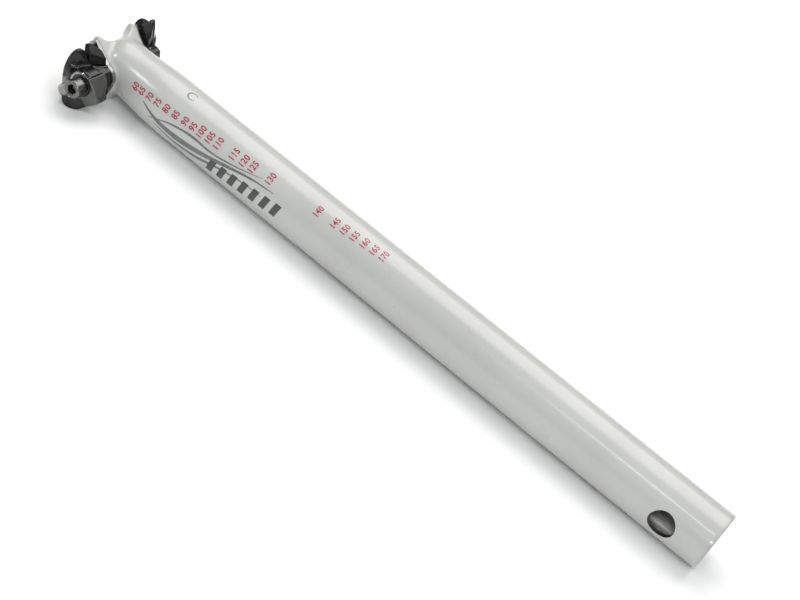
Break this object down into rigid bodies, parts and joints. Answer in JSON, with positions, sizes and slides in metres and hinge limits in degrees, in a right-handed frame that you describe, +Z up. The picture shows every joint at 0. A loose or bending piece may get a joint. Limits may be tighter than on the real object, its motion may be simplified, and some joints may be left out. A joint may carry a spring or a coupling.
{
  "type": "bicycle seatpost",
  "caption": "Straight white bicycle seatpost lying on its side, with a forged head and a black side clamp for the saddle rails drawn together by a cross bolt.",
  "frame": {"origin": "on the floor below the middle of the part's bounding box, as it lies with the rear of the post up", "axes": "+X up the shaft from the open lower end to the head, +Y to the side where the bolt's head is (the left of a bicycle with this post fitted), +Z up, which is the rear of the post"},
  "size_m": [0.3436, 0.0674, 0.0278],
  "materials": {
    "white_paint": "gloss white paint, bare machined side faces on the head",
    "black_anodised": "satin black anodised",
    "black_polished": "gloss black anodised with polished edges",
    "grey_alloy": "grey anodised, satin",
    "steel": "bright plated"
  },
  "bodies": {
    "post": {"post_body": "white_paint"},
    "clamp": {"left_cradle": "black_anodised", "right_cradle": "black_anodised", "left_jaw": "black_polished", "right_jaw": "black_polished", "bolt_carrier": "grey_alloy", "clamp_bolt": "steel", "bolt_washer": "steel", "clamp_nut": "steel"}
  },
  "joints": [
    {"name": "clamp_tilt", "type": "hinge", "parent": "post", "child": "clamp", "pos_m": [0.1592, -0.0023, 0.0136], "axis": [0, 1, 0], "range_deg": [-15, 15]}
  ]
}
